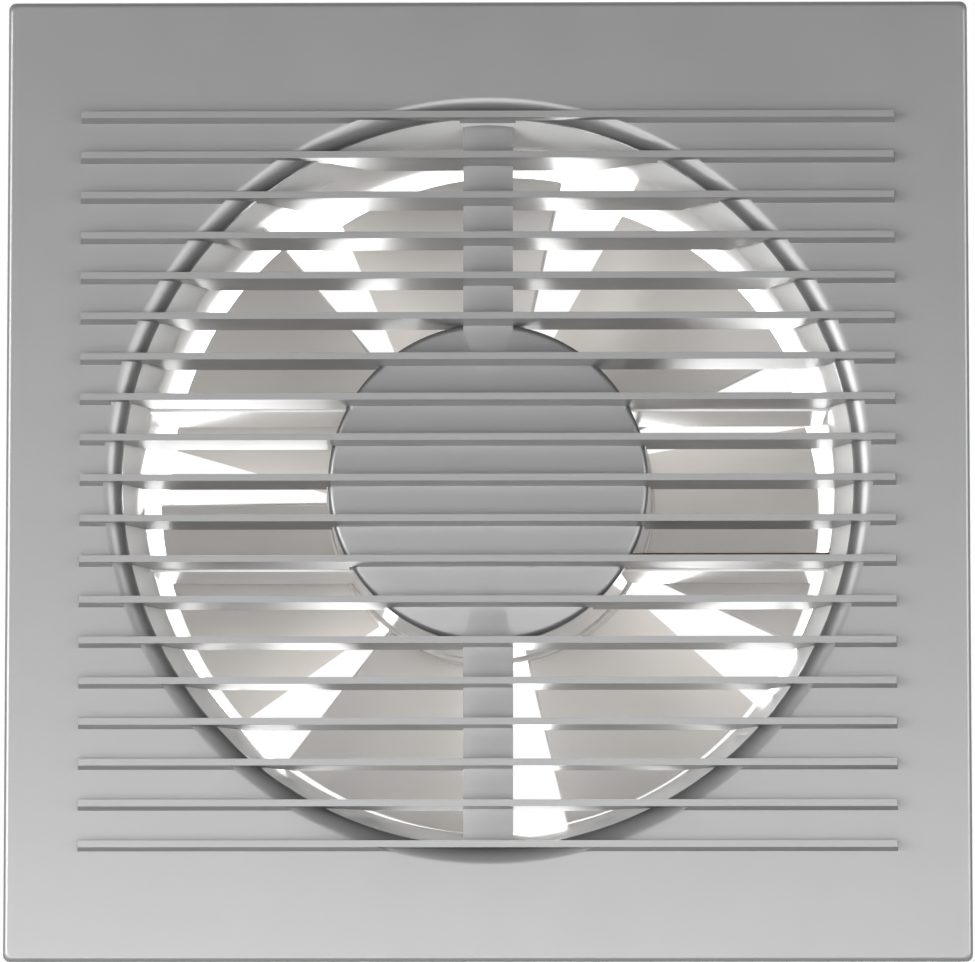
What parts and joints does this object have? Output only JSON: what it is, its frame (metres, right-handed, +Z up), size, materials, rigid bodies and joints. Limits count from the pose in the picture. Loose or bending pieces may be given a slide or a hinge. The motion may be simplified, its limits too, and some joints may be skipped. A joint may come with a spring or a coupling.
{
  "type": "bathroom extractor fan",
  "caption": "Square wall-mounted axial extractor fan with a louvred front grille, round duct spigot, motor cup on flat stays and a bladed impeller.",
  "frame": {"origin": "where the duct axis meets the wall plane, at the centre of the back of the wall plate", "axes": "+Y along the duct away from the room, +Z up, +X to the right as seen from the room"},
  "size_m": [0.2, 0.1115, 0.2],
  "materials": {
    "grille_silver": "satin light silver-grey moulded ABS, fine metallic pigment",
    "housing_white": "glossy warm white moulded ABS",
    "impeller_white": "semi-gloss warm white moulded ABS",
    "lamination_steel": "stacked electrical steel, dark varnish",
    "cast_aluminium": "die-cast, as cast",
    "bright_steel": "ground shaft",
    "spring_steel": "blued spring steel",
    "zinc_screw": "zinc plated",
    "sintered_bronze": "oil-filled sintered bronze",
    "brass": "turned brass",
    "copper_winding": "enamelled copper wire, layer wound",
    "copper_ring": "bare copper",
    "nylon": "natural nylon",
    "terminal_nylon": "polyamide, semi-matt",
    "rubber": "moulded rubber",
    "brown_lead": "PVC insulation",
    "blue_lead": "PVC insulation"
  },
  "bodies": {
    "fan_body": {"wall_plate": "housing_white", "duct_sleeve": "housing_white", "motor_carrier": "housing_white", "motor_cap": "housing_white", "stator_core": "lamination_steel", "front_bracket": "cast_aluminium", "rear_bracket": "cast_aluminium", "front_bush": "sintered_bronze", "rear_bush": "sintered_bronze", "thrust_washer_front": "nylon", "thrust_washer_rear": "nylon", "terminal_block": "terminal_nylon", "terminal_insert_live": "brass", "terminal_insert_neutral": "brass", "terminal_cover": "housing_white", "terminal_cover_screw": "zinc_screw", "cable_grommet": "rubber", "cable_clamp": "terminal_nylon", "motor_lead_live": "brown_lead", "motor_lead_neutral": "blue_lead", "bobbin_1": "nylon", "winding_1": "copper_winding", "shading_ring_1": "copper_ring", "motor_screw_1": "zinc_screw", "terminal_screw_1": "zinc_screw", "bobbin_2": "nylon", "winding_2": "copper_winding", "shading_ring_2": "copper_ring", "motor_screw_2": "zinc_screw", "terminal_screw_2": "zinc_screw", "bobbin_3": "nylon", "winding_3": "copper_winding", "shading_ring_3": "copper_ring", "motor_screw_3": "zinc_screw", "terminal_screw_3": "zinc_screw", "bobbin_4": "nylon", "winding_4": "copper_winding", "shading_ring_4": "copper_ring", "motor_screw_4": "zinc_screw", "terminal_screw_4": "zinc_screw", "cable_clamp_screw_1": "zinc_screw", "cable_clamp_screw_2": "zinc_screw"},
    "impeller": {"impeller": "impeller_white", "hub_nut": "spring_steel", "motor_shaft": "bright_steel", "rotor_core": "lamination_steel", "rotor_ring_front": "cast_aluminium", "rotor_ring_rear": "cast_aluminium"},
    "front_cover": {"front_grille": "grille_silver"}
  },
  "joints": [
    {"name": "impeller_spin", "type": "hinge", "parent": "fan_body", "child": "impeller", "pos_m": [0, 0, 0], "axis": [0, 1, 0], "continuous": true},
    {"name": "grille_pull", "type": "slide", "parent": "fan_body", "child": "front_cover", "axis": [0, -1, 0], "range_m": [0, 0.08]}
  ]
}
